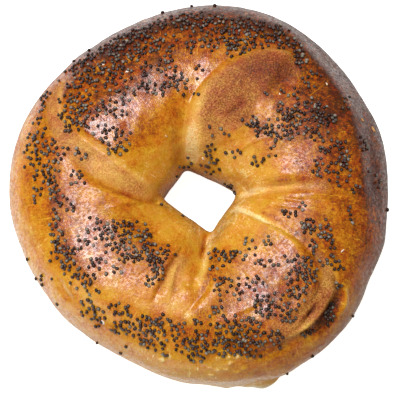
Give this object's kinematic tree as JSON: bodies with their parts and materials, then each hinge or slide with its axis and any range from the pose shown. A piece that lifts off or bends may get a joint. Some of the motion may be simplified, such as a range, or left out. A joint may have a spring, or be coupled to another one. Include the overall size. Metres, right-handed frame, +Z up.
{
  "type": "bagel",
  "caption": "Hand-rolled poppy seed bagel: one ring of baked dough with a tight slanted hole, deep folds running out from it and a small flat foot.",
  "frame": {"origin": "middle of the bottom of the bagel's bounding box, on the surface it rests on", "axes": "+Z up out of the seeded crown, +Y towards the lobe with the broad unseeded tongue of dough, +X towards the crease with the stretched band"},
  "size_m": [0.1052, 0.1068, 0.0367],
  "materials": {
    "crust": "egg-washed baked crust, soft gloss over a golden to deep orange-brown bake",
    "poppy_seed": "dry slate-blue to black poppy seed, satin",
    "pale_grain": "pale cream grains and dough flecks, matt"
  },
  "bodies": {
    "root": {"bagel": "crust"}
  },
  "joints": []
}
